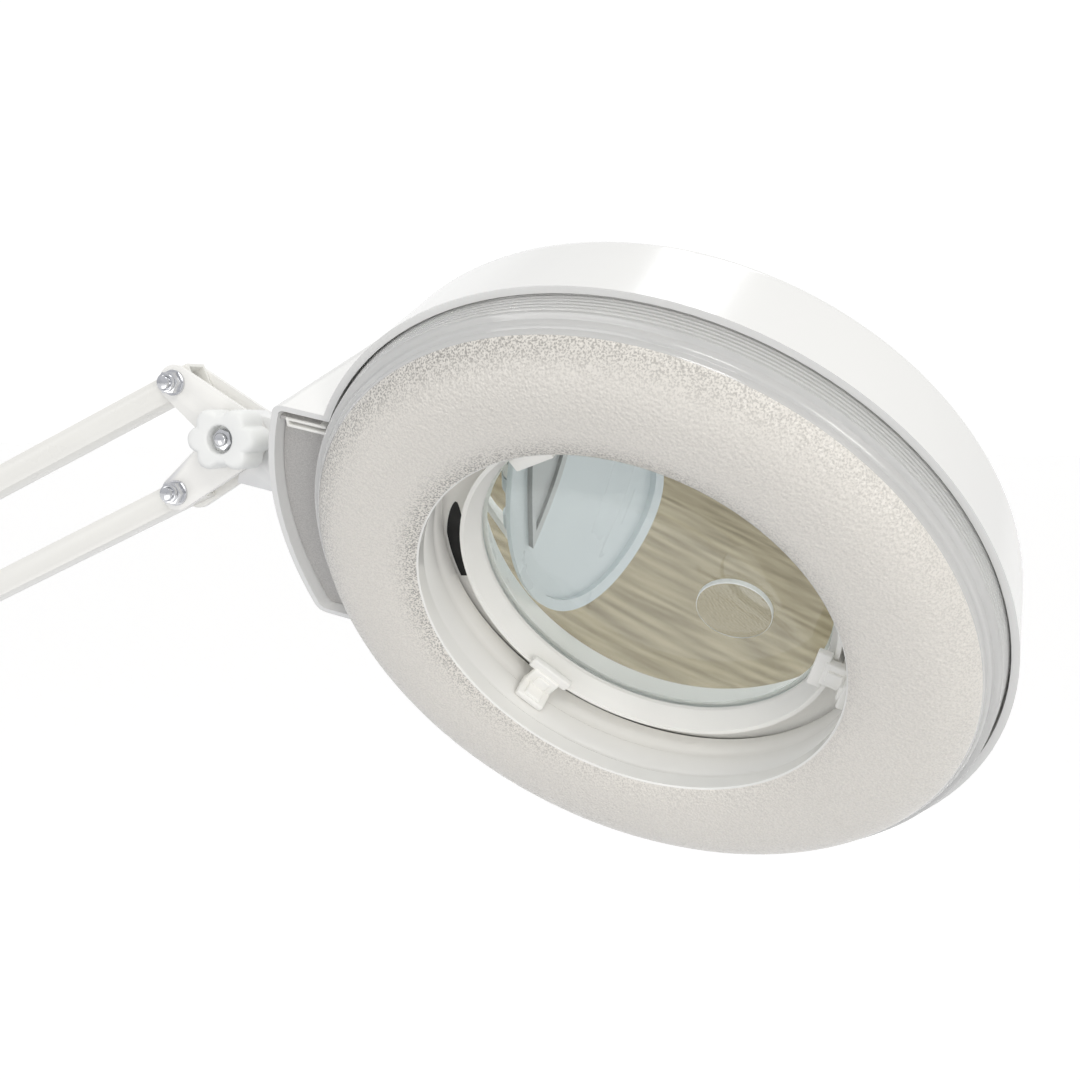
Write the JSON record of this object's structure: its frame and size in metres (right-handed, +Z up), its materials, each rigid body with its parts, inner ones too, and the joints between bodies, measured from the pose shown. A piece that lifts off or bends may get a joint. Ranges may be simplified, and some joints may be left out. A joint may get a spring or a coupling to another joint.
{
  "type": "bench magnifying lamp",
  "caption": "Clamp-on bench magnifying lamp: sprung parallelogram arms of square tube, a tilt and roll joint, and a round lit head round a glass lens with a flip cover.",
  "frame": {"origin": "middle of the clamp's seat on the table top, on the vertical axis that the lamp swivels about", "axes": "+Z up, +X from the table's edge over the table and along the arms, -Y the side that the head faces at rest"},
  "size_m": [0.7306, 0.2107, 0.8636],
  "materials": {
    "shell_white": "glossy",
    "metal_white": "glossy",
    "steel": "bright zinc plated",
    "fasteners": "bright",
    "nylon": "satin",
    "rubber_black": "matte",
    "pad_steel": "satin",
    "panel_grey": "fine texture",
    "clear_plastic": "moulded, lightly frosted",
    "optical_glass": "polished",
    "reflector_white": "glossy",
    "board": "white solder mask",
    "phosphor": "satin",
    "driver_black": "matte",
    "switch_black": "glossy"
  },
  "bodies": {
    "clamp": {"clamp_frame": "metal_white", "socket_bush": "nylon", "seat_pad": "rubber_black"},
    "lock": {"socket_lock_screw": "fasteners"},
    "pad": {"clamp_pad": "pad_steel"},
    "screw": {"clamp_screw": "steel"},
    "handle": {"clamp_handle": "steel"},
    "post": {"swivel_pin": "steel", "base_block": "metal_white", "base_plate_front": "metal_white", "base_plate_back": "metal_white", "base_bolts": "fasteners", "base_nuts": "fasteners", "base_washers": "fasteners", "lower_anchor_pin": "steel"},
    "lower_rear": {"lower_rear_tube": "metal_white", "lower_springs": "steel", "lower_tube_pin": "steel"},
    "lower_front": {"lower_front_tube": "metal_white"},
    "elbow": {"elbow_plate_front": "metal_white", "elbow_plate_back": "metal_white", "elbow_bolts": "fasteners", "elbow_nuts": "fasteners", "elbow_washers": "fasteners", "forearm_anchor_pin": "steel"},
    "forearm_low": {"forearm_low_tube": "metal_white", "forearm_springs": "steel", "forearm_tube_pin": "steel"},
    "forearm_high": {"forearm_high_tube": "metal_white"},
    "knuckle": {"knuckle_plate_front": "metal_white", "knuckle_plate_back": "metal_white", "knuckle_bolts": "fasteners", "knuckle_nuts": "fasteners", "knuckle_washers": "fasteners", "tilt_washer": "nylon", "tilt_nut": "fasteners"},
    "knob": {"tilt_knob": "shell_white", "tilt_stud": "fasteners"},
    "tilt": {"tilt_block": "metal_white", "roll_friction_screw": "steel"},
    "head": {"head_housing": "shell_white", "neck_boss": "metal_white", "roll_spindle": "steel", "roll_nut": "steel", "neck_panel": "panel_grey", "lens_holder": "shell_white", "reflector": "reflector_white", "led_ring": "board", "led_chips": "phosphor", "led_driver": "driver_black", "diffuser": "clear_plastic", "magnifier_lens": "optical_glass", "inset_lens": "optical_glass", "lens_ring": "shell_white", "lens_clips": "shell_white", "cover_hinge_saddle": "shell_white", "cover_hinge_pin": "steel", "switch_bezel": "switch_black"},
    "cover": {"lens_cover": "shell_white"},
    "rocker": {"rocker_switch": "switch_black"}
  },
  "joints": [
    {"name": "lock_turn", "type": "hinge", "parent": "clamp", "child": "lock", "pos_m": [0, 0.015, 0.032], "axis": [0, 1, 0], "range_deg": [-180, 180]},
    {"name": "pad_travel", "type": "slide", "parent": "clamp", "child": "pad", "axis": [0, 0, 1], "range_m": [-0.03, 0.0155]},
    {"name": "screw_spin", "type": "hinge", "parent": "pad", "child": "screw", "pos_m": [0, 0, -0.03], "axis": [0, 0, 1], "range_deg": [-6250, 3250]},
    {"name": "handle_slide", "type": "slide", "parent": "screw", "child": "handle", "axis": [0, 1, 0], "range_m": [-0.02, 0.02]},
    {"name": "base_swivel", "type": "hinge", "parent": "clamp", "child": "post", "pos_m": [0, 0, 0.0474], "axis": [0, 0, 1], "continuous": true},
    {"name": "lower_arm", "type": "hinge", "parent": "post", "child": "lower_rear", "pos_m": [-0.02, 0, 0.095], "axis": [0, 1, 0], "range_deg": [-40, 40]},
    {"name": "lower_link", "type": "hinge", "parent": "post", "child": "lower_front", "pos_m": [0.02, 0, 0.095], "axis": [0, 1, 0], "range_deg": [-40, 40]},
    {"name": "elbow_level", "type": "hinge", "parent": "lower_rear", "child": "elbow", "pos_m": [-0.11835, 0, 0.46205], "axis": [0, 1, 0], "range_deg": [-40, 40]},
    {"name": "forearm", "type": "hinge", "parent": "elbow", "child": "forearm_low", "pos_m": [-0.07835, 0, 0.49605], "axis": [0, 1, 0], "range_deg": [-45, 65]},
    {"name": "forearm_link", "type": "hinge", "parent": "elbow", "child": "forearm_high", "pos_m": [-0.07835, 0, 0.53905], "axis": [0, 1, 0], "range_deg": [-45, 65]},
    {"name": "knuckle_level", "type": "hinge", "parent": "forearm_low", "child": "knuckle", "pos_m": [0.28707, 0, 0.65875], "axis": [0, 1, 0], "range_deg": [-65, 45]},
    {"name": "knob_turn", "type": "hinge", "parent": "knuckle", "child": "knob", "pos_m": [0.31677, 0, 0.68025], "axis": [0, 1, 0], "range_deg": [-180, 180]},
    {"name": "head_tilt", "type": "hinge", "parent": "knuckle", "child": "tilt", "pos_m": [0.31677, 0, 0.68025], "axis": [0, 1, 0], "range_deg": [-55, 55]},
    {"name": "head_roll", "type": "hinge", "parent": "tilt", "child": "head", "pos_m": [0.31677, 0, 0.68025], "axis": [0.9792, 0, -0.2028], "range_deg": [-96, 204]},
    {"name": "cover_flip", "type": "hinge", "parent": "head", "child": "cover", "pos_m": [0.43002, 0.0017, 0.65805], "axis": [-0.1641, 0.5878, -0.7922], "range_deg": [-8, 69]},
    {"name": "rocker_tip", "type": "hinge", "parent": "head", "child": "rocker", "pos_m": [0.36992, 0.02673, 0.65877], "axis": [0.9792, 0, -0.2028], "range_deg": [0, 8]}
  ],
  "couplings": [
    {"joint": "screw_spin", "follows": "pad_travel", "rad_per_m": 3590.4},
    {"joint": "lower_link", "follows": "lower_arm", "ratio": 1},
    {"joint": "elbow_level", "follows": "lower_arm", "ratio": -1},
    {"joint": "forearm_link", "follows": "forearm", "ratio": 1},
    {"joint": "knuckle_level", "follows": "forearm", "ratio": -1}
  ]
}
